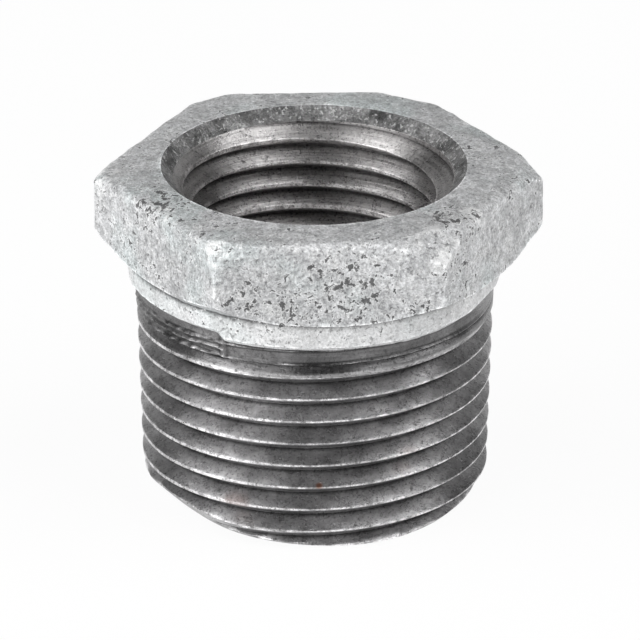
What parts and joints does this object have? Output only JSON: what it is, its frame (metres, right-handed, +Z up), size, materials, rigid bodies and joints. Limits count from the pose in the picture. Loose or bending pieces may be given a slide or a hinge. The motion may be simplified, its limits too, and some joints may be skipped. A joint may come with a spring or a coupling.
{
  "type": "hex reducing bushing",
  "caption": "Galvanised cast-iron hex bushing with a tapered male pipe thread outside and a smaller tapered female pipe thread inside.",
  "frame": {"origin": "middle of the lower end face, at the end of the male thread", "axes": "+Z up along the thread axis towards the hexagon; a flat of the hexagon faces -Y"},
  "size_m": [0.0338, 0.0294, 0.0257],
  "materials": {
    "galvanised_iron": "galvanised casting, machined on the threads"
  },
  "bodies": {
    "root": {"hex_bushing": "galvanised_iron"}
  },
  "joints": []
}
